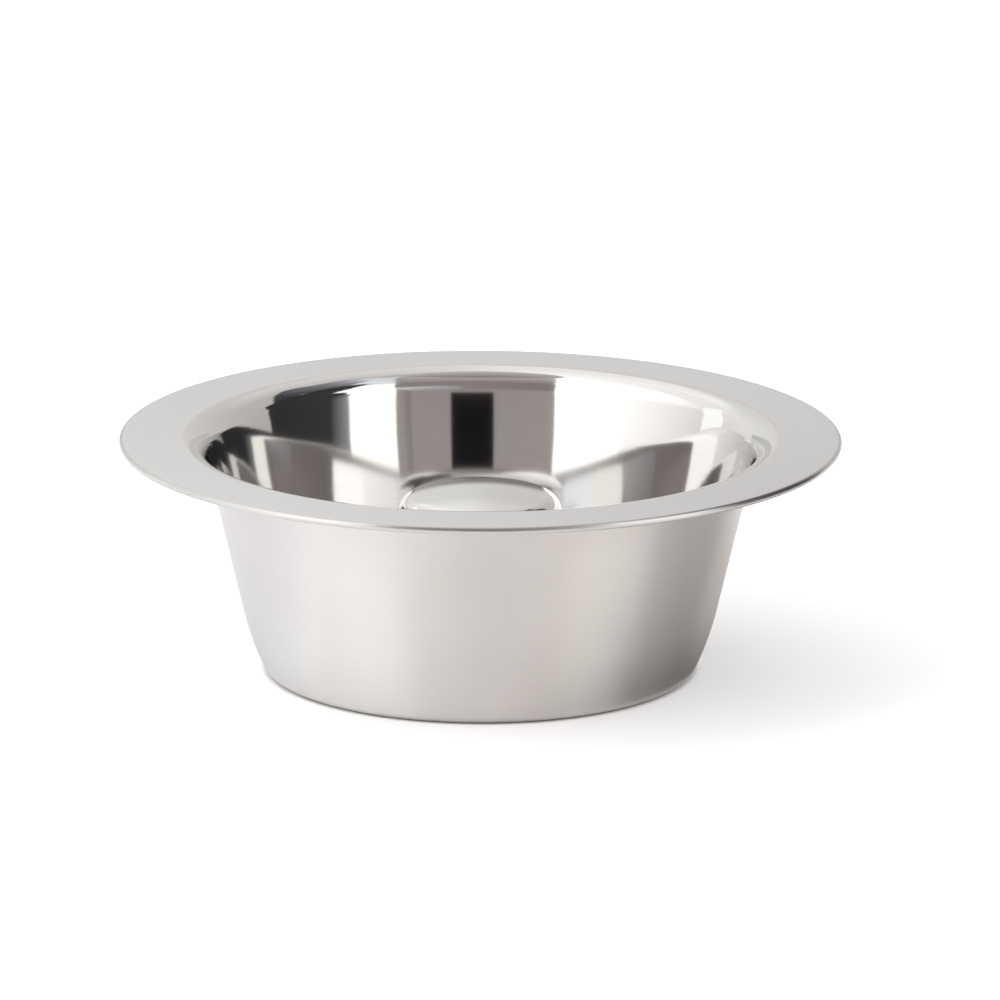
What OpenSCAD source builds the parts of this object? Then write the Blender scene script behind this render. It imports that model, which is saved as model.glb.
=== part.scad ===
// Slow feeder bowl: a drawn bowl with a wide hemmed flange, and a domed
// island spot welded to its floor. It stands on Z = 0 with its axis on Z.

/* [Bowl] */
// Diameter over the hemmed flange
flange_d = 216; // [200:1:240]
// Height from the table to the top of the flange
bowl_h = 71.2; // [64:0.2:84]
// Diameter of the flat on the underside of the base
base_flat_d = 124.6; // [112:0.2:136]
// Outside radius of the base corner
base_corner_r = 3.2; // [2:0.1:6]
// Lean of the wall from upright, where it leaves the base corner
base_lean = 25.4; // [20:0.1:30]
// Outside radius of the belly that eases the lower wall upright
belly_r = 86; // [60:1:110]
// Lean of the straight wall from upright
wall_lean = 13.2; // [9:0.1:16]
// Radius of the slight flare above the straight wall
flare_r = 200; // [120:5:240]
// Lean of the wall from upright, where it meets the rim bend
flare_lean = 17; // [16.5:0.1:20]
// Radius under the bend from the wall to the flange
rim_bend_r = 8; // [4:0.5:10]
// Thickness of the bowl's sheet
bowl_sheet_t = 0.7; // [0.5:0.05:0.9]

/* [Hem] */
// Thickness over the folded edge of the flange
hem_t = 2.1; // [1.9:0.1:3]
// Length of the leg that is folded back under the flange
hem_leg = 3; // [2:0.1:5]

/* [Island] */
// Diameter of the island at its shoulder
island_d = 49; // [40:0.5:56]
// Height of the island's crown above the table
island_h = 55.6; // [40:0.5:62]
// Outside radius of the crown
crown_r = 90; // [60:1:140]
// Outside radius of the shoulder between the crown and the side
shoulder_r = 6; // [3:0.1:9]
// Draft of the side from upright
side_draft = 3; // [1:0.1:6]
// Radius over the bend from the side to the foot
foot_bend_r = 4; // [2:0.1:6]
// Width of the flat foot beyond its bend
foot_w = 8; // [6:0.1:10]
// Thickness of the island's sheet
island_sheet_t = 0.6; // [0.5:0.05:0.9]

/* [Welds] */
// Number of spot welds around the foot
weld_count = 8; // [4:1:12]
// Diameter of a weld nugget
weld_d = 4.4; // [3:0.1:5]
// Depth of a nugget in the bowl's floor
weld_sink = 0.4; // [0.2:0.05:0.45]
// Depth of the dish that the electrode leaves on a nugget
dish_depth = 0.1; // [0.05:0.01:0.2]
// Flat ring around the dish
dish_land = 0.35; // [0.2:0.05:0.6]

/* [Hidden] */
$fn = 96;
// Widest turn between two points of a bend
bend_step = 4;
// How far a cutter runs past the face it opens
cut_over = 1;

steel = "silver";
weld_steel = "gray";

// Bowl: radii on the middle of its sheet
base_corner_mid = base_corner_r - bowl_sheet_t / 2;
belly_mid = belly_r - bowl_sheet_t / 2;
flare_mid = flare_r + bowl_sheet_t / 2;
rim_bend_mid = rim_bend_r + bowl_sheet_t / 2;
hem_mid = (hem_t - bowl_sheet_t) / 2;

// Bowl: bend centres, from the base up; each bend runs on from the last
flange_z = bowl_h - bowl_sheet_t / 2;
base_corner_c = [base_flat_d / 2, base_corner_r];
belly_c = base_corner_c + polar(base_corner_mid - belly_mid, -base_lean);
wall_foot = belly_c + polar(belly_mid, -wall_lean);
rim_bend_rise = rim_bend_mid * (1 - sin(flare_lean));
flare_rise = flare_mid * (sin(flare_lean) - sin(wall_lean));
wall_rise = flange_z - rim_bend_rise - flare_rise - wall_foot.y;
wall_head = wall_foot + [wall_rise * tan(wall_lean), wall_rise];
flare_c = wall_head - polar(flare_mid, 180 - wall_lean);
rim_bend_c = flare_c + polar(flare_mid - rim_bend_mid, 180 - flare_lean);
hem_c = [flange_d / 2 - hem_t / 2, flange_z - hem_mid];

// Island: radii on the middle of its sheet
crown_mid = crown_r - island_sheet_t / 2;
shoulder_mid = shoulder_r - island_sheet_t / 2;
foot_bend_mid = foot_bend_r + island_sheet_t / 2;

// Island: bend centres, from the crown down
foot_z = bowl_sheet_t + island_sheet_t / 2;
crown_c = [0, island_h - crown_r];
crown_turn = asin((island_d / 2 - shoulder_r) / (crown_r - shoulder_r));
shoulder_c = crown_c + polar(crown_r - shoulder_r, 90 - crown_turn);
side_head = shoulder_c + polar(shoulder_mid, side_draft);
side_drop = side_head.y - foot_z - foot_bend_mid * (1 - sin(side_draft));
side_foot = side_head + [side_drop * tan(side_draft), -side_drop];
foot_bend_c = side_foot - polar(foot_bend_mid, 180 + side_draft);
foot_edge_r = foot_bend_c.x + foot_w;

// Welds: on the middle of the flat foot
weld_circle_r = foot_bend_c.x + foot_w / 2;
weld_bottom = bowl_sheet_t - weld_sink;
weld_top = bowl_sheet_t + island_sheet_t;
dish_d = weld_d - 2 * dish_land;
dish_r = (pow(dish_d / 2, 2) + pow(dish_depth, 2)) / (2 * dish_depth);

function polar(r, a) = r * [cos(a), sin(a)];

function flip(points) = [for (i = [len(points) - 1 : -1 : 0]) points[i]];

// Points of a bend of radius r about c, from angle a to angle b
function bend(c, r, a, b) =
    let (steps = max(3, ceil(abs(b - a) / bend_step)))
    [for (i = [0 : steps]) c + polar(r, a + (b - a) * i / steps)];

// One side of the bowl's sheet, off outward from its middle
function bowl_side(off) = concat(
    [[0, bowl_sheet_t / 2 - off]],
    bend(base_corner_c, base_corner_mid + off, -90, -base_lean),
    bend(belly_c, belly_mid + off, -base_lean, -wall_lean),
    bend(flare_c, flare_mid - off, 180 - wall_lean, 180 - flare_lean),
    bend(rim_bend_c, rim_bend_mid - off, 180 - flare_lean, 90),
    bend(hem_c, hem_mid - off, 90, -90),
    [hem_c + [-hem_leg, off - hem_mid]]
);

// One side of the island's sheet, off outward from its middle
function island_side(off) = concat(
    bend(crown_c, crown_mid + off, 90, 90 - crown_turn),
    bend(shoulder_c, shoulder_mid + off, 90 - crown_turn, side_draft),
    bend(foot_bend_c, foot_bend_mid - off, 180 + side_draft, 270),
    [[foot_edge_r, foot_z + off]]
);

// A turned sheet between its two sides
module turned_sheet(outer, inner) {
    rotate_extrude()
        polygon(concat(outer, flip(inner)));
}

// Puts its child at each weld around the foot
module at_welds() {
    for (i = [0 : weld_count - 1])
        rotate(i * 360 / weld_count)
            translate([weld_circle_r, 0, 0])
                children();
}

// The seat that a nugget fills, from the floor up through the foot
module weld_seat() {
    translate([0, 0, weld_bottom])
        cylinder(d = weld_d, h = weld_top - weld_bottom + cut_over);
}

// One drawn sheet: floor, base corner, wall, flange and hem
module bowl_shell() {
    color(steel)
        difference() {
            turned_sheet(bowl_side(bowl_sheet_t / 2), bowl_side(-bowl_sheet_t / 2));
            at_welds() weld_seat();
        }
}

// One drawn cup, open side down: crown, shoulder, side and flat foot
module slow_feed_island() {
    color(steel)
        difference() {
            turned_sheet(island_side(island_sheet_t / 2), island_side(-island_sheet_t / 2));
            at_welds() weld_seat();
        }
}

// Nuggets that join the foot to the floor, each dished by the electrode
module spot_welds() {
    color(weld_steel)
        at_welds()
            difference() {
                translate([0, 0, weld_bottom])
                    cylinder(d = weld_d, h = weld_top - weld_bottom);
                translate([0, 0, weld_top - dish_depth + dish_r])
                    sphere(r = dish_r);
            }
}

bowl_shell();
slow_feed_island();
spot_welds();
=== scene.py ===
from math import radians, tan

import bpy
import numpy as np
from mathutils import Matrix


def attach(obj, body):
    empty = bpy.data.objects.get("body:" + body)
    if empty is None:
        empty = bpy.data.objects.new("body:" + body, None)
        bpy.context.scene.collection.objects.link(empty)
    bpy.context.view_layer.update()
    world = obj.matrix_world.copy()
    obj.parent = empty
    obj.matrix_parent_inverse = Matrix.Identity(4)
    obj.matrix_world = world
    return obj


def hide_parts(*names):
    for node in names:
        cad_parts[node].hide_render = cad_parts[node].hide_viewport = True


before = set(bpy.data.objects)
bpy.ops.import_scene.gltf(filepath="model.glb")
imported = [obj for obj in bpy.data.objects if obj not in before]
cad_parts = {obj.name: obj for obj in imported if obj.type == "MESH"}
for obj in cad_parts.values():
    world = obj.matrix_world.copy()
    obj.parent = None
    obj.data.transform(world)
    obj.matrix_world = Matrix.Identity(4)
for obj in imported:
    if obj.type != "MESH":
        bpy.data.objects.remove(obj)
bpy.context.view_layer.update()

mm = 0.001
scene = bpy.context.scene
scene.view_settings.view_transform = "Standard"
scene.cycles.glossy_bounces = 8  # the polished wall mirrors itself many times over
print("frame loaded, nodes:", sorted(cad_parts))


# point at distance r and angle deg from the middle of a section
def polar(r, deg):
    return r * np.array([np.cos(np.radians(deg)), np.sin(np.radians(deg))])


# arc: centre + r (cos t, sin t), with t running evenly from a to b degrees
def arcRun(centre, r, a, b, step):
    t = np.radians(np.linspace(a, b, max(2, int(np.ceil(abs(b - a) / step)) + 1)))
    return np.asarray(centre) + r * np.stack([np.cos(t), np.sin(t)], axis=1)


# straight stretch from p to q, cut into equal pieces no longer than spacing
def straightRun(p, q, spacing):
    p, q = np.asarray(p, float), np.asarray(q, float)
    s = np.linspace(0, 1, int(np.ceil(np.linalg.norm(q - p) / spacing)) + 1)
    return p + s[:, None] * (q - p)


# runs laid end to end; a point that repeats the one before it is dropped.
# Also gives each stretch between two points the zone number of its run.
def joinRuns(runs, same=1e-6):
    points = np.concatenate([r for r, zone in runs])
    zones = np.concatenate([np.full(len(r), zone) for r, zone in runs])
    keep = np.r_[True, np.linalg.norm(np.diff(points, axis=0), axis=1) > same]
    return points[keep], zones[keep][1:]


# piece from ready corners and faces, with its UV map and the finish of each face
def meshPiece(name, verts, quads, tris, uvQuads, uvTris, slotQuads, slotTris, materials):
    mesh = bpy.data.meshes.new(name)
    mesh.from_pydata(verts.tolist(), [], quads.tolist() + tris.tolist())
    mesh.uv_layers.new(name="UVMap").data.foreach_set(
        "uv", np.concatenate([uvQuads.ravel(), uvTris.ravel()]).astype(np.float32))
    for material in materials:
        mesh.materials.append(material)
    mesh.polygons.foreach_set("material_index", np.r_[slotQuads, slotTris].astype(np.int32))
    mesh.polygons.foreach_set("use_smooth", np.ones(len(mesh.polygons), bool))
    mesh.update()
    piece = bpy.data.objects.new(name, mesh)
    scene.collection.objects.link(piece)
    return piece


# turned skin: (r, z) of the section carried round the axis,
# x = r cos u, y = r sin u, z = z, closed by one point at each end on the axis.
# UV: u is the share of a turn, v the length along the section in metres.
def turnedSkin(section, zones, turns):
    rings = section[1:-1]
    n = len(rings)
    u = np.arange(turns) * 2 * np.pi / turns
    x = rings[:, :1] * np.cos(u)
    y = rings[:, :1] * np.sin(u)
    z = np.repeat(rings[:, 1:], turns, axis=1)
    verts = np.concatenate([np.stack([x, y, z], axis=2).reshape(-1, 3),
                            [[0, 0, section[0, 1]], [0, 0, section[-1, 1]]]])
    along = np.r_[0, np.cumsum(np.linalg.norm(np.diff(section, axis=0), axis=1))]
    i, j = np.meshgrid(np.arange(n - 1), np.arange(turns), indexing="ij")
    k = (j + 1) % turns
    quads = np.stack([i * turns + j, i * turns + k, (i + 1) * turns + k, (i + 1) * turns + j],
                     axis=2).reshape(-1, 4)
    ua, ub = j / turns, (j + 1) / turns
    va, vb = along[1:-1][i], along[1:-1][i + 1]
    uvQuads = np.stack([ua, va, ub, va, ub, vb, ua, vb], axis=2).reshape(-1, 4, 2)
    c = np.arange(turns)
    d = (c + 1) % turns
    first = np.stack([d, c, np.full(turns, n * turns)], axis=1)
    last = np.stack([(n - 1) * turns + c, (n - 1) * turns + d,
                     np.full(turns, n * turns + 1)], axis=1)
    tris = np.concatenate([first, last])
    one = np.ones(turns)
    uvFirst = np.stack([(c + 1) / turns, along[1] * one, c / turns, along[1] * one,
                        (c + 0.5) / turns, along[0] * one], axis=1)
    uvLast = np.stack([c / turns, along[-2] * one, (c + 1) / turns, along[-2] * one,
                       (c + 0.5) / turns, along[-1] * one], axis=1)
    uvTris = np.concatenate([uvFirst, uvLast]).reshape(-1, 3, 2)
    slotQuads = np.repeat(zones[1:-1], turns)
    slotTris = np.r_[np.full(turns, zones[0]), np.full(turns, zones[-1])]
    return verts, quads, tris, uvQuads, uvTris, slotQuads, slotTris


def newMaterial(name):
    material = bpy.data.materials.new(name)
    material.use_nodes = True
    return material, material.node_tree, material.node_tree.nodes["Principled BSDF"]


def node(tree, kind, **values):
    made = tree.nodes.new(kind)
    for key, value in values.items():
        setattr(made, key, value)
    return made


# v of the UV map in millimetres along the section
def alongSection(tree):
    uv = node(tree, "ShaderNodeUVMap", uv_map="UVMap")
    split = node(tree, "ShaderNodeSeparateXYZ")
    scale = node(tree, "ShaderNodeMath", operation="MULTIPLY")
    scale.inputs[1].default_value = 1 / mm
    tree.links.new(uv.outputs["UV"], split.inputs[0])
    tree.links.new(split.outputs["Y"], scale.inputs[0])
    return scale.outputs[0]


def noise(tree, vector, scale, detail=2.0, roughness=0.5):
    made = node(tree, "ShaderNodeTexNoise")
    made.inputs["Scale"].default_value = scale
    made.inputs["Detail"].default_value = detail
    made.inputs["Roughness"].default_value = roughness
    tree.links.new(vector, made.inputs["Vector"])
    return made.outputs["Fac"]


# direction from the axis times around, and the length along the section times across:
# a pattern on it runs in arcs round the bowl and meets itself after a turn
def turnedPlace(tree, along, around, across):
    place = node(tree, "ShaderNodeTexCoord").outputs["Object"]
    flat = node(tree, "ShaderNodeVectorMath", operation="MULTIPLY")
    flat.inputs[1].default_value = (1, 1, 0)
    tree.links.new(place, flat.inputs[0])
    outward = node(tree, "ShaderNodeVectorMath", operation="NORMALIZE")
    tree.links.new(flat.outputs[0], outward.inputs[0])
    spread = node(tree, "ShaderNodeVectorMath", operation="SCALE")
    spread.inputs["Scale"].default_value = around
    tree.links.new(outward.outputs[0], spread.inputs[0])
    rise = node(tree, "ShaderNodeMath", operation="MULTIPLY")
    rise.inputs[1].default_value = across
    tree.links.new(along, rise.inputs[0])
    lift = node(tree, "ShaderNodeCombineXYZ")
    tree.links.new(rise.outputs[0], lift.inputs["Z"])
    both = node(tree, "ShaderNodeVectorMath", operation="ADD")
    tree.links.new(spread.outputs[0], both.inputs[0])
    tree.links.new(lift.outputs[0], both.inputs[1])
    return both.outputs[0]


def mapTo(tree, value, low, high, fromLow=0.0, fromHigh=1.0):
    made = node(tree, "ShaderNodeMapRange")
    made.inputs["From Min"].default_value = fromLow
    made.inputs["From Max"].default_value = fromHigh
    made.inputs["To Min"].default_value = low
    made.inputs["To Max"].default_value = high
    tree.links.new(value, made.inputs["Value"])
    return made.outputs["Result"]


def bump(tree, height, distance, before=None):
    made = node(tree, "ShaderNodeBump")
    made.inputs["Strength"].default_value = 1.0
    made.inputs["Distance"].default_value = distance
    tree.links.new(height, made.inputs["Height"])
    if before is not None:
        tree.links.new(before, made.inputs["Normal"])
    return made.outputs["Normal"]


wheelMarks = {"rotation": 0.25, "middle": (0.3, 0.7), "patchDetail": 4.0, "patchRoughness": 0.6,
              "scuffAround": 9, "scuffAcross": 2.2, "scuffDetail": 2.0, "scuffRange": (0.62, 0.74),
              "lineAround": 2.5, "lineDetail": 3.0, "waveDetail": 1.0}


# steel turned under a wheel: fine lines along the turn, patchy sheen
def turnedSteel(name, look, marks=wheelMarks):
    material, tree, shader = newMaterial(name)
    shader.inputs["Metallic"].default_value = 1.0
    shader.inputs["Anisotropic"].default_value = look["anisotropy"]
    shader.inputs["Anisotropic Rotation"].default_value = marks["rotation"]
    tangent = node(tree, "ShaderNodeTangent", direction_type="UV_MAP", uv_map="UVMap")
    tree.links.new(tangent.outputs[0], shader.inputs["Tangent"])
    place = node(tree, "ShaderNodeTexCoord").outputs["Object"]
    along = alongSection(tree)
    patches = noise(tree, place, look["patchScale"], marks["patchDetail"], marks["patchRoughness"])
    scuffPlace = turnedPlace(tree, along, marks["scuffAround"], marks["scuffAcross"])
    scuffNoise = noise(tree, scuffPlace, 1.0, marks["scuffDetail"])
    scuffs = mapTo(tree, scuffNoise, 0, 1, *marks["scuffRange"])
    dull = node(tree, "ShaderNodeMath", operation="MULTIPLY_ADD")
    dull.inputs[1].default_value = look["scuffs"]
    tree.links.new(scuffs, dull.inputs[0])
    tree.links.new(mapTo(tree, patches, *look["roughness"], *marks["middle"]), dull.inputs[2])
    tree.links.new(dull.outputs[0], shader.inputs["Roughness"])
    tone = node(tree, "ShaderNodeMix", data_type="RGBA")  # 0 is its share, 6 and 7 its colours
    tone.inputs[6].default_value = (*look["darkTone"], 1)
    tone.inputs[7].default_value = (*look["lightTone"], 1)
    linePlace = turnedPlace(tree, along, marks["lineAround"], look["lineScale"])
    lines = noise(tree, linePlace, 1.0, marks["lineDetail"])
    tree.links.new(mapTo(tree, lines, 0, 1, *marks["middle"]), tone.inputs[0])
    tree.links.new(tone.outputs[2], shader.inputs["Base Color"])
    waves = noise(tree, place, look["waveScale"], marks["waveDetail"])
    wave = bump(tree, waves, look["waveHeight"] * mm)
    groove = bump(tree, lines, look["lineHeight"] * mm, wave)
    tree.links.new(groove, shader.inputs["Normal"])
    return material


polishLook = {"anisotropy": 0.3, "patchScale": 30, "roughness": (0.06, 0.08), "scuffs": 0.02,
              "darkTone": (0.655, 0.645, 0.635), "lightTone": (0.685, 0.675, 0.665),
              "lineScale": 4, "waveScale": 30, "waveHeight": 0.010, "lineHeight": 0.0002}
islandLook = {"anisotropy": 0.3, "patchScale": 40, "roughness": (0.15, 0.20), "scuffs": 0.03,
              "darkTone": (0.655, 0.65, 0.64), "lightTone": (0.685, 0.68, 0.67),
              "lineScale": 4, "waveScale": 30, "waveHeight": 0.008, "lineHeight": 0.0004}
flangeLook = {"anisotropy": 0.3, "patchScale": 40, "roughness": (0.34, 0.40), "scuffs": 0.03,
              "darkTone": (0.676, 0.673, 0.675), "lightTone": (0.712, 0.708, 0.710),
              "lineScale": 5, "waveScale": 20, "waveHeight": 0.010, "lineHeight": 0.0006}
outsideLook = {"anisotropy": 0.9, "patchScale": 40, "roughness": (0.39, 0.43), "scuffs": 0.02,
               "darkTone": (0.69, 0.662, 0.643), "lightTone": (0.715, 0.687, 0.668),
               "lineScale": 6, "waveScale": 20, "waveHeight": 0.010, "lineHeight": 0.0007}
# painted shade: the hem fold is the flange's steel given a darker tone, with its own satin
# roughness
hemShadedLook = {"anisotropy": 0.5, "patchScale": 40, "roughness": (0.30, 0.36), "scuffs": 0.03,
           "darkTone": (0.54, 0.53, 0.52), "lightTone": (0.57, 0.56, 0.55),
           "lineScale": 4, "waveScale": 20, "waveHeight": 0.010, "lineHeight": 0.0006}
baseLook = {"anisotropy": 0.6, "patchScale": 60, "roughness": (0.30, 0.40), "scuffs": 0.08,
            "darkTone": (0.58, 0.565, 0.55), "lightTone": (0.68, 0.66, 0.64),
            "lineScale": 3, "waveScale": 20, "waveHeight": 0.010, "lineHeight": 0.003}
weldLook = {"anisotropy": 0.0, "patchScale": 400, "roughness": (0.35, 0.5), "scuffs": 0.0,
            "darkTone": (0.42, 0.37, 0.32), "lightTone": (0.60, 0.56, 0.52),
            "lineScale": 1, "waveScale": 300, "waveHeight": 0.01, "lineHeight": 0.002}
insidePolish = turnedSteel("insidePolish", polishLook)
islandSatin = turnedSteel("islandSatin", islandLook)
flangeSatin = turnedSteel("flangeSatin", flangeLook)
outsideBrushed = turnedSteel("outsideBrushed", outsideLook)
hemShadedSatin = turnedSteel("hemShadedSatin", hemShadedLook)
baseSatin = turnedSteel("baseSatin", baseLook)
weldSkin = turnedSteel("weldSkin", weldLook)
print("finishes ready")

bowlSizes = {"flangeD": 216, "height": 71.2, "baseFlatD": 124.6, "baseCornerR": 3.2,
             "baseLean": 25.4, "bellyR": 86, "wallLean": 13.2, "flareR": 200, "flareLean": 17,
             "rimBendR": 8, "sheetT": 0.7, "hemT": 2.1, "hemLeg": 3,
             "turns": 320, "spacing": 2.5, "bendStep": 3.5, "bellyStep": 1.0, "flareStep": 0.5,
             "hemStep": 12, "edgeStep": 30}
# in the order of its finishes
bowlZones = {"inside": 0, "outside": 1, "base": 2, "flange": 3, "hem": 4}


# one face of the drawn sheet, off outward from its middle: floor, corner,
# belly, wall, flare, rim bend, flange, hem fold and hem leg, each tangent to the next
def bowlFace(s, off, zones):
    t, step, gap = s["sheetT"], s["bendStep"], s["spacing"]
    baseLean, wallLean, flareLean = s["baseLean"], s["wallLean"], s["flareLean"]
    cornerMid, bellyMid = s["baseCornerR"] - t / 2, s["bellyR"] - t / 2
    flareMid, rimMid = s["flareR"] + t / 2, s["rimBendR"] + t / 2
    hemMid = (s["hemT"] - t) / 2
    flangeZ = s["height"] - t / 2
    cornerC = np.array([s["baseFlatD"] / 2, s["baseCornerR"]])
    bellyC = cornerC + polar(cornerMid - bellyMid, -baseLean)
    wallFoot = bellyC + polar(bellyMid, -wallLean)
    rimRise = rimMid * (1 - np.sin(radians(flareLean)))
    flareRise = flareMid * (np.sin(radians(flareLean)) - np.sin(radians(wallLean)))
    rise = flangeZ - rimRise - flareRise - wallFoot[1]
    wallHead = wallFoot + [rise * tan(radians(wallLean)), rise]
    flareC = wallHead - polar(flareMid, 180 - wallLean)
    rimC = flareC + polar(flareMid - rimMid, 180 - flareLean)
    hemC = np.array([s["flangeD"] / 2 - s["hemT"] / 2, flangeZ - hemMid])
    corner = arcRun(cornerC, cornerMid + off, -90, -baseLean, step)
    belly = arcRun(bellyC, bellyMid + off, -baseLean, -wallLean, s["bellyStep"])
    flare = arcRun(flareC, flareMid - off, 180 - wallLean, 180 - flareLean, s["flareStep"])
    rim = arcRun(rimC, rimMid - off, 180 - flareLean, 90, step)
    hem = arcRun(hemC, hemMid - off, 90, -90, s["hemStep"])
    legEnd = hemC + [-s["hemLeg"] + t / 2, off - hemMid]
    base, wall, flange, fold = zones
    return [(straightRun([0, t / 2 - off], corner[0], gap), base),
            (corner, wall), (belly, wall), (straightRun(belly[-1], flare[0], gap), wall),
            (flare, wall), (rim, wall), (straightRun(rim[-1], hem[0], gap), flange),
            (hem, fold), (straightRun(hem[-1], legEnd, gap), fold)], hemC


# both faces joined round the cut edge of the hem leg
def bowlSection(s):
    t = s["sheetT"]
    inside, outside, base, flange, hem = bowlZones.values()
    outer, hemC = bowlFace(s, t / 2, (base, outside, flange, flange))
    inner, hemC = bowlFace(s, -t / 2, (inside, inside, flange, hem))
    legC = hemC + [-s["hemLeg"] + t / 2, -(s["hemT"] - t) / 2]
    edge = arcRun(legC, t / 2, 90, 270, s["edgeStep"])
    back = [(run[::-1], zone) for run, zone in inner[::-1]]
    return joinRuns(outer + [(edge, hem)] + back)


section, zones = bowlSection(bowlSizes)
bowlShell = meshPiece("bowlShell", *turnedSkin(section * mm, zones, bowlSizes["turns"]),
                      [insidePolish, outsideBrushed, baseSatin, flangeSatin, hemShadedSatin])
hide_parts("bowl_shell")
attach(bowlShell, "root")
print("bowl shell:", len(bowlShell.data.polygons), "faces")

islandSizes = {"shoulderD": 49, "height": 55.6, "crownR": 90, "shoulderR": 6, "draft": 3,
               "footBendR": 4, "footW": 8, "sheetT": 0.6, "floorT": 0.7,
               "turns": 240, "spacing": 2.0, "bendStep": 4, "crownStep": 1.0, "edgeStep": 30}
islandZones = {"crown": 0, "under": 1, "side": 2}


# one face of the inverted cup: crown, shoulder, side, foot bend and flat foot
def islandFace(s, off):
    t, step, gap = s["sheetT"], s["bendStep"], s["spacing"]
    crownMid, shoulderMid = s["crownR"] - t / 2, s["shoulderR"] - t / 2
    footMid, footZ = s["footBendR"] + t / 2, s["floorT"] + t / 2
    crownC = np.array([0, s["height"] - s["crownR"]])
    reach = s["crownR"] - s["shoulderR"]
    turn = np.degrees(np.arcsin((s["shoulderD"] / 2 - s["shoulderR"]) / reach))
    shoulderC = crownC + polar(reach, 90 - turn)
    sideHead = shoulderC + polar(shoulderMid, s["draft"])
    drop = sideHead[1] - footZ - footMid * (1 - np.sin(radians(s["draft"])))
    sideFoot = sideHead + [drop * tan(radians(s["draft"])), -drop]
    footC = sideFoot - polar(footMid, 180 + s["draft"])
    crown = arcRun(crownC, crownMid + off, 90, 90 - turn, s["crownStep"])
    shoulder = arcRun(shoulderC, shoulderMid + off, 90 - turn, s["draft"], step)
    foot = arcRun(footC, footMid - off, 180 + s["draft"], 270, step)
    edgeR = footC[0] + s["footW"] - t / 2
    flat = straightRun(foot[-1], [edgeR, footZ + off], gap)
    top, side = islandZones["crown"], islandZones["side"]
    return [(crown, top), (shoulder, side), (straightRun(shoulder[-1], foot[0], gap), side),
            (foot, side), (flat, side)], np.array([edgeR, footZ]), footC[0]


# both faces joined round the edge of the foot; the hollow side has one finish
def islandSection(s):
    t = s["sheetT"]
    outer, edgeC, footR = islandFace(s, t / 2)
    inner, edgeC, footR = islandFace(s, -t / 2)
    edge = arcRun(edgeC, t / 2, 90, -90, s["edgeStep"])
    back = [(run[::-1], islandZones["under"]) for run, zone in inner[::-1]]
    section, zones = joinRuns(outer + [(edge, islandZones["side"])] + back)
    return section[::-1], zones[::-1], footR


section, zones, footR = islandSection(islandSizes)
island = meshPiece("slowFeedIsland", *turnedSkin(section * mm, zones, islandSizes["turns"]),
                   [islandSatin, baseSatin, insidePolish])
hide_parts("slow_feed_island")
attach(island, "root")
print("island:", len(island.data.polygons), "faces")

weldSizes = {"count": 8, "d": 4.4, "sink": 0.4, "dishDepth": 0.1, "dishLand": 0.35,
             "circleR": footR + islandSizes["footW"] / 2, "turns": 40,
             "bottomGap": 0.6, "sideGap": 0.3, "landGap": 0.1, "dishPoints": 8}


# one nugget is a turned skin: bottom, side, land and a dish that deepens as
# 1 - (r / dish)^2; the rest are copies turned about the bowl's axis by even steps
def weldRing(s):
    low = islandSizes["floorT"] - s["sink"]
    high = islandSizes["floorT"] + islandSizes["sheetT"]
    side = s["d"] / 2
    dish = side - s["dishLand"]
    r = np.linspace(dish, 0, s["dishPoints"])
    dishRun = np.stack([r, high - s["dishDepth"] * (1 - (r / dish) ** 2)], axis=1)
    runs = [(straightRun([0, low], [side, low], s["bottomGap"]), 0),
            (straightRun([side, low], [side, high], s["sideGap"]), 0),
            (straightRun([side, high], [dish, high], s["landGap"]), 0), (dishRun, 0)]
    section, zones = joinRuns(runs)
    verts, quads, tris, uvQuads, uvTris, slotQuads, slotTris = turnedSkin(
        section * mm, zones, s["turns"])
    a = np.arange(s["count"]) * 2 * np.pi / s["count"]
    moved = verts + [s["circleR"] * mm, 0, 0]
    x = np.outer(np.cos(a), moved[:, 0]) - np.outer(np.sin(a), moved[:, 1])
    y = np.outer(np.sin(a), moved[:, 0]) + np.outer(np.cos(a), moved[:, 1])
    z = np.tile(moved[:, 2], (s["count"], 1))
    step = (np.arange(s["count"]) * len(verts))[:, None, None]
    return (np.stack([x, y, z], axis=2).reshape(-1, 3),
            (quads[None] + step).reshape(-1, 4), (tris[None] + step).reshape(-1, 3),
            np.tile(uvQuads, (s["count"], 1, 1)), np.tile(uvTris, (s["count"], 1, 1)),
            np.tile(slotQuads, s["count"]), np.tile(slotTris, s["count"]))


welds = meshPiece("spotWelds", *weldRing(weldSizes), [weldSkin])
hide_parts("spot_welds")
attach(welds, "root")
print("welds:", weldSizes["count"])

cameraView = {"focalPixels": 9000, "imagePixels": 1000, "sensor": 36, "clipEnd": 50,
              "place": (0.00589, -2.60723, 0.73451), "pitch": 14.683, "roll": 0.231}
lens = bpy.data.cameras.new("photoCamera")
lens.sensor_width = cameraView["sensor"]
lens.lens = cameraView["sensor"] * cameraView["focalPixels"] / cameraView["imagePixels"]
lens.clip_end = cameraView["clipEnd"]
camera = bpy.data.objects.new("photoCamera", lens)
camera.matrix_world = (Matrix.Translation(cameraView["place"])
                       @ Matrix.Rotation(radians(90 - cameraView["pitch"]), 4, "X")
                       @ Matrix.Rotation(radians(cameraView["roll"]), 4, "Z"))
scene.collection.objects.link(camera)
scene.camera = camera
print("camera placed")


# 1 where the camera or a polished surface looks, 0 for light that scatters
def seenRay(tree):
    path = node(tree, "ShaderNodeLightPath")
    either = node(tree, "ShaderNodeMath", operation="MAXIMUM")
    both = node(tree, "ShaderNodeMath", operation="MAXIMUM")
    tree.links.new(path.outputs["Is Camera Ray"], either.inputs[0])
    tree.links.new(path.outputs["Is Glossy Ray"], either.inputs[1])
    tree.links.new(either.outputs[0], both.inputs[0])
    tree.links.new(path.outputs["Is Transmission Ray"], both.inputs[1])
    return both.outputs[0]


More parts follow.
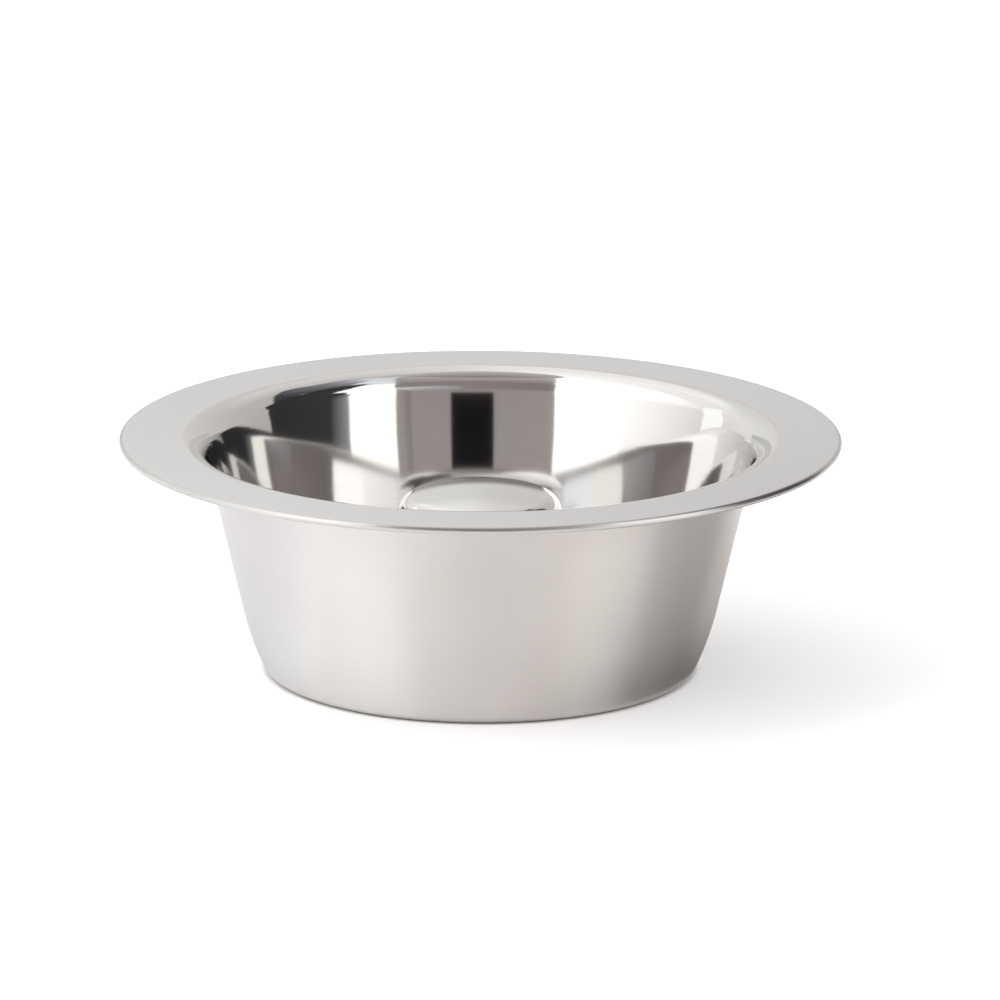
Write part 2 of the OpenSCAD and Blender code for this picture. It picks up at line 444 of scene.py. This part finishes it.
# level square: x and y run from -half to half at the height z
def levelSquare(name, half, z):
    mesh = bpy.data.meshes.new(name)
    mesh.from_pydata([(-half, -half, z), (half, -half, z), (half, half, z), (-half, half, z)],
                     [], [(0, 1, 2, 3)])
    return mesh


def stagePiece(name, mesh, material):
    mesh.materials.append(material)
    piece = bpy.data.objects.new(name, mesh)
    scene.collection.objects.link(piece)
    return piece


# contact (painted contact shadow) and shade (painted shade near the bowl): a near and a far
# distance from the axis, and the share left at the near one
floorLook = {"half": 4.0, "albedo": 0.8, "roughness": 0.9, "glow": 0.44,
             "contact": (0.0630, 0.0662, 0.5), "shade": (0.075, 0.15, 0.72)}
floorMaterial, tree, shader = newMaterial("paleTable")
shader.inputs["Roughness"].default_value = floorLook["roughness"]
shader.inputs["Specular IOR Level"].default_value = 0.0
shader.inputs["Emission Color"].default_value = (1, 1, 1, 1)
length = node(tree, "ShaderNodeVectorMath", operation="LENGTH")
tree.links.new(node(tree, "ShaderNodeTexCoord").outputs["Object"], length.inputs[0])
fromAxis = length.outputs["Value"]
# painted contact shadow: the table's colour is darker in the gap under the base corner; painted
# shade: its glow is fainter near the bowl
near, far, share = floorLook["contact"]
contact = mapTo(tree, fromAxis, 0.0, 1.0, near, far)
contactShadowColour = mapTo(tree, fromAxis, share * floorLook["albedo"], floorLook["albedo"], near, far)
tree.links.new(contactShadowColour, shader.inputs["Base Color"])
# painted shade: the table's glow fades towards the bowl
near, far, share = floorLook["shade"]
shadeNearBowl = mapTo(tree, fromAxis, share, 1.0, near, far)
paintedShadeRamp = node(tree, "ShaderNodeMath", operation="MULTIPLY")
tree.links.new(contact, paintedShadeRamp.inputs[0])
tree.links.new(shadeNearBowl, paintedShadeRamp.inputs[1])
glow = node(tree, "ShaderNodeMath", operation="MULTIPLY")
tree.links.new(paintedShadeRamp.outputs[0], glow.inputs[0])
tree.links.new(mapTo(tree, seenRay(tree), 0.0, floorLook["glow"]), glow.inputs[1])
tree.links.new(glow.outputs[0], shader.inputs["Emission Strength"])
stagePiece("table", levelSquare("table", floorLook["half"], 0), floorMaterial)
print("table laid")

# painted shadow and painted light for what the outer wall and the hem mirror: flat glowing panels
# just above the table stand in for the bowl's shadow on the table and the bright table round it
warmShade = {"height": 0.0005, "colour": (1.0, 0.97, 0.95)}
coolShade = {**warmShade, "colour": (0.97, 0.99, 1.03)}
# panels round the bowl, hidden from the camera. Each row: elevation, azimuth from
# and to (from the far side, +Y, towards the right, +X), strength at those two ends.
# A panel with a height lies flat on the table, and its rows begin with a radius.
studioPanels = {
    "backLeft": {"distance": 2.3, "colour": (1.0, 0.995, 0.985), "rows": [
        (0.3, -34, -2, 1.00, 0.89), (31, -34, -2, 1.10, 0.88), (37, -34, -2, 1.35, 1.16),
        (75, -34, -2, 1.40, 1.15)]},
    "backMiddle": {"distance": 2.3, "colour": (1.0, 0.985, 0.97), "rows": [
        (0.3, -2, 2, 0.89, 0.79), (31, -2, 2, 0.88, 0.82), (37, -2, 2, 1.16, 0.98),
        (75, -2, 2, 1.15, 1.10)]},
    "backRight": {"distance": 2.3, "colour": (1.0, 0.975, 0.95), "rows": [
        (0.3, 2, 44, 0.79, 0.74), (31, 2, 44, 0.82, 0.70), (37, 2, 44, 0.98, 0.72),
        (44, 2, 46, 1.00, 0.72), (75, 2, 46, 1.10, 0.80)]},
    "backShelf": {"distance": 2.2, "colour": (1.0, 1.0, 1.0), "rows": [
        (0.3, -26, 26, 0.65, 0.65), (10.5, -26, 26, 0.65, 0.65)]},
    "rightWall": {"distance": 2.2, "colour": (1.0, 0.96, 0.92), "rows": [
        (0.3, 44, 78, 0.74, 0.60), (40, 44, 78, 0.68, 0.70), (70, 44, 78, 0.75, 0.95)]},
    "flag": {"distance": 0.30, "colour": (0.97, 0.97, 1.05), "rows": [
        (0.3, 66, 110.6, 0.04, 0.05), (20, 66, 110.6, 0.04, 0.05), (31, 63, 111.2, 0.04, 0.05),
        (40, 53, 108.5, 0.04, 0.05), (48, 54, 104, 0.04, 0.05), (52, 56, 100, 0.04, 0.05),
        (53, 56, 90, 0.04, 0.05), (62, 58, 89, 0.04, 0.05), (66, 60, 84, 0.05, 0.05),
        (70, 66, 80, 0.05, 0.05)]},
    "flagEdge": {"distance": 0.29, "colour": (0.98, 1.0, 1.05), "rows": [
        (0.3, 101, 111.6, 0.07, 0.42), (31, 102, 112.0, 0.06, 0.38), (45, 98, 108, 0.05, 0.20)]},
    "flagArm": {"distance": 2.0, "colour": (0.97, 0.97, 1.05), "rows": [
        (10, 76.5, 78, 0.05, 0.05), (25, 74, 78, 0.05, 0.05), (35, 69, 78, 0.05, 0.05),
        (41, 61, 78, 0.06, 0.05), (45, 51, 78, 0.08, 0.08), (46, 49, 79, 0.08, 0.08),
        (49, 38, 83.5, 0.15, 0.10), (52, 39, 87, 0.22, 0.13), (56, 46, 92, 0.25, 0.18),
        (59, 46, 94, 0.30, 0.25), (62, 44, 91, 0.45, 0.35), (65.5, 44, 88, 0.70, 0.60),
        (67.5, 50, 84, 0.90, 0.90)]},
    "highRight": {"distance": 2.1, "colour": (0.96, 0.99, 1.05), "rows": [
        (25, 70, 126, 1.9, 1.9), (49, 70, 126, 1.8, 1.8), (56, 70, 130, 1.3, 1.2),
        (75, 70, 140, 0.95, 0.75)]},
    "rightCard": {"distance": 1.7, "colour": (1.0, 0.98, 0.94), "rows": [
        (0.3, 110, 143, 1.7, 1.7), (24, 110, 143, 1.8, 1.8), (52, 110, 143, 1.85, 1.75),
        (60, 110, 143, 1.0, 1.0)]},
    "frontRoom": {"distance": 1.6, "colour": (1.0, 0.90, 0.86), "rows": [
        (0.3, 140.7, 214.2, 0.47, 0.47), (24, 141.8, 213.1, 0.40, 0.44),
        (28, 141.2, 213.8, 0.40, 0.30), (39.5, 138.3, 216.1, 0.38, 0.28),
        (55, 130.7, 222.7, 0.33, 0.33), (62.5, 123, 229.5, 0.45, 0.45),
        (69, 109.5, 241, 0.50, 0.52), (72.5, 92, 252, 0.55, 0.58), (75, 66, 290, 0.60, 0.65)]},
    "frontCool": {"distance": 1.57, "colour": (0.98, 0.97, 0.99), "rows": [
        (24, 149, 170, 0.40, 0.40), (27, 147, 171, 0.48, 0.42), (30, 145, 172, 0.62, 0.44),
        (34, 140, 172, 0.78, 0.42), (41, 138.5, 168, 0.80, 0.40)]},
    "frontPost": {"distance": 1.58, "colour": (1.0, 0.92, 0.88), "rows": [
        (0.3, 145.5, 148.5, 0.40, 0.34), (24, 145.5, 148.5, 0.34, 0.30)]},
    "frontDark": {"distance": 1.55, "colour": (1.0, 1.0, 1.1), "rows": [
        (2, 166.3, 186.3, 0.01, 0.01), (23.5, 166.6, 185.6, 0.01, 0.01)]},
    "leftSoftbox": {"distance": 1.7, "colour": (1.0, 1.0, 0.99), "rows": [
        (0.3, 212, 245, 2.0, 2.0), (28, 212, 245, 2.1, 2.1), (36, 212, 245, 2.3, 2.3),
        (74, 212, 245, 2.1, 2.0)]},
    "leftWall": {"distance": 2.0, "colour": (1.0, 0.99, 0.975), "rows": [
        (0.3, 244.8, 300, 1.50, 0.85), (25, 244.8, 300, 1.60, 1.00),
        (34, 244.8, 300, 1.95, 1.25), (44, 244.8, 300, 2.1, 1.45), (74, 244.8, 300, 1.95, 1.5)]},
    "leftStrip": {"distance": 1.9, "colour": (1.0, 1.0, 0.98), "rows": [
        (0.3, 290, 304.5, 1.45, 1.45), (10, 290, 304.6, 1.45, 1.45), (20, 293, 308, 1.45, 1.45),
        (28, 296, 312, 1.45, 1.45), (34, 303, 320, 1.45, 1.45)]},
    "leftFar": {"distance": 2.2, "colour": (1.0, 0.985, 0.96), "rows": [
        (0.3, 299, 328, 1.00, 1.00), (25, 299, 328, 1.10, 1.10), (74, 299, 328, 1.5, 1.42)]},
    # painted shadow and painted light on the table, seen only where the steel mirrors it
    "shadeFar": {**warmShade, "rows": [
        (0.066, 22, 58, 0.80, 0.10), (0.09, 22, 58, 0.90, 0.24), (0.11, 22, 58, 1.00, 0.50),
        (0.125, 22, 58, 1.05, 0.40), (0.185, 22, 58, 1.05, 0.40), (0.205, 22, 58, 1.10, 1.50),
        (0.5, 22, 58, 1.10, 1.50)]},
    "shade": {**warmShade, "rows": [
        (0.066, 58, 100, 0.10, 0.10), (0.09, 58, 100, 0.24, 0.26), (0.11, 58, 100, 0.50, 0.62),
        (0.125, 58, 100, 0.40, 0.55), (0.185, 58, 100, 0.40, 0.55), (0.205, 58, 100, 1.50, 1.60),
        (0.5, 58, 100, 1.50, 1.60)]},
    "shadeNear": {**warmShade, "rows": [
        (0.066, 100, 130, 0.10, 0.28), (0.09, 100, 130, 0.26, 0.40),
        (0.11, 100, 130, 0.60, 0.74), (0.125, 100, 130, 0.55, 0.92),
        (0.185, 100, 130, 0.55, 1.20), (0.205, 100, 130, 1.60, 1.30), (0.5, 100, 130, 1.60, 1.30)]},
    "shadeFront": {**warmShade, "rows": [
        (0.066, 130, 178, 0.24, 0.95), (0.075, 130, 177, 0.28, 1.08),
        (0.09, 130, 174, 0.36, 1.15), (0.11, 130, 162, 0.70, 1.18),
        (0.125, 130, 155, 0.90, 1.22), (0.16, 130, 142, 1.20, 1.20)]},
    "hemShadeFront": {**warmShade, "rows": [
        (0.17, 140, 176, 1.15, 1.06), (0.42, 136, 176, 1.15, 1.06)]},
    "hemShadeLeft": {**warmShade, "rows": [
        (0.17, 176, 207, 1.06, 1.35), (0.42, 176, 207, 1.06, 1.35)]},
    "shadeLeft": {**coolShade, "rows": [
        (0.066, 232, 275, 1.00, 0.75), (0.075, 234, 275, 1.20, 0.88),
        (0.09, 236, 275, 1.35, 1.00), (0.13, 238, 275, 1.45, 1.05), (0.25, 238, 275, 1.50, 1.20)]},
    "shadeBack": {**coolShade, "rows": [
        (0.066, 275, 345, 0.65, 0.65), (0.075, 275, 345, 0.85, 0.85),
        (0.09, 275, 345, 1.00, 1.00), (0.13, 275, 345, 1.05, 1.05), (0.25, 275, 345, 1.20, 1.20)]},
}
panelGrid = {"step": 2.5, "flatRows": 12, "close": 1.0}  # degrees, rows, metres


# piece of a ball: x = R cos e sin a, y = R cos e cos a, z = R sin e, where e climbs
# through the rows and a runs between the two ends that the rows give at e.
# A flat one is a sector: x = e sin a, y = e cos a, where e is the radius.
def panelMesh(name, look, grid=panelGrid):
    rows = np.array(look["rows"], float)
    first, last = rows[0, 0], rows[-1, 0]
    flat = "height" in look
    count = grid["flatRows"] if flat else int(np.ceil((last - first) / grid["step"])) + 1
    e = np.unique(np.r_[rows[:, 0], np.linspace(first, last, count)])
    start, end, glowStart, glowEnd = [np.interp(e, rows[:, 0], column)[:, None]
                                      for column in rows.T[1:]]
    across = int(np.ceil((end - start).max() / grid["step"])) + 1
    u = np.linspace(0, 1, across)[None]
    a = np.radians(start + u * (end - start))
    glow = glowStart + u * (glowEnd - glowStart)
    if flat:
        out, up = e[:, None], look["height"]
    else:
        climb = np.radians(e)[:, None]
        out, up = look["distance"] * np.cos(climb), look["distance"] * np.sin(climb)
    verts = np.stack([out * np.sin(a), out * np.cos(a), up + 0 * a], axis=2)
    i, j = np.meshgrid(np.arange(len(e) - 1), np.arange(across - 1), indexing="ij")
    corner = i * across + j
    quads = np.stack([corner, corner + 1, corner + across + 1, corner + across], axis=2)
    mesh = bpy.data.meshes.new(name)
    mesh.from_pydata(verts.reshape(-1, 3).tolist(), [], quads.reshape(-1, 4).tolist())
    strength = mesh.attributes.new("glow", "FLOAT", "POINT")
    strength.data.foreach_set("value", glow.ravel().astype(np.float32))
    return mesh


# dull black that glows in one colour; its strength is linked by the caller
def glowMaterial(name, colour):
    material, tree, shader = newMaterial(name)
    shader.inputs["Base Color"].default_value = (0, 0, 0, 1)
    shader.inputs["Roughness"].default_value = 1.0
    shader.inputs["Specular IOR Level"].default_value = 0.0
    shader.inputs["Emission Color"].default_value = (*colour, 1)
    return material, tree, shader


def studioPanel(name, look):
    material, tree, shader = glowMaterial(name, look["colour"])
    glow = node(tree, "ShaderNodeAttribute", attribute_name="glow")
    tree.links.new(glow.outputs["Fac"], shader.inputs["Emission Strength"])
    panel = stagePiece(name, panelMesh(name, look), material)
    panel.visible_camera = False
    if look.get("distance", 0) < panelGrid["close"]:  # these act only on what the steel mirrors
        panel.visible_diffuse = False
        panel.visible_shadow = False


for name, look in studioPanels.items():
    studioPanel(name, look)
print("panels:", len(studioPanels))

ceilingLook = {"half": 0.75, "height": 2.3, "colour": (1.0, 0.93, 0.90),
               "front": 0.25, "back": 0.80}
material, tree, shader = glowMaterial("ceilingPanel", ceilingLook["colour"])
split = node(tree, "ShaderNodeSeparateXYZ")
tree.links.new(node(tree, "ShaderNodeTexCoord").outputs["Object"], split.inputs[0])
half = ceilingLook["half"]
strength = mapTo(tree, split.outputs["Y"], ceilingLook["front"], ceilingLook["back"], -half, half)
tree.links.new(strength, shader.inputs["Emission Strength"])
ceilingMesh = levelSquare("ceilingPanel", half, ceilingLook["height"])
stagePiece("ceilingPanel", ceilingMesh, material).visible_camera = False

keyLook = {"azimuth": 240, "elevation": 46, "distance": 1.6, "size": 1.2, "power": 8}
lamp = bpy.data.lights.new("keyLamp", "AREA")
lamp.shape = "SQUARE"
lamp.size = keyLook["size"]
lamp.energy = keyLook["power"]
key = bpy.data.objects.new("keyLamp", lamp)
a, e = radians(keyLook["azimuth"]), radians(keyLook["elevation"])
key.matrix_world = (Matrix.Translation(keyLook["distance"] * np.array(
                        [np.cos(e) * np.sin(a), np.cos(e) * np.cos(a), np.sin(e)]))
                    @ Matrix.Rotation(np.pi - a, 4, "Z")
                    @ Matrix.Rotation(np.pi / 2 - e, 4, "X"))
key.visible_glossy = False
key.visible_camera = False
scene.collection.objects.link(key)

# white surroundings where they are looked at, dimmer where they only light
worldLook = {"lit": 0.5, "seen": 1.0}
world = bpy.data.worlds.new("studio")
scene.world = world
world.use_nodes = True
tree = world.node_tree
background = tree.nodes["Background"]
background.inputs["Color"].default_value = (1, 1, 1, 1)
tree.links.new(mapTo(tree, seenRay(tree), worldLook["lit"], worldLook["seen"]),
               background.inputs["Strength"])
print("studio set")
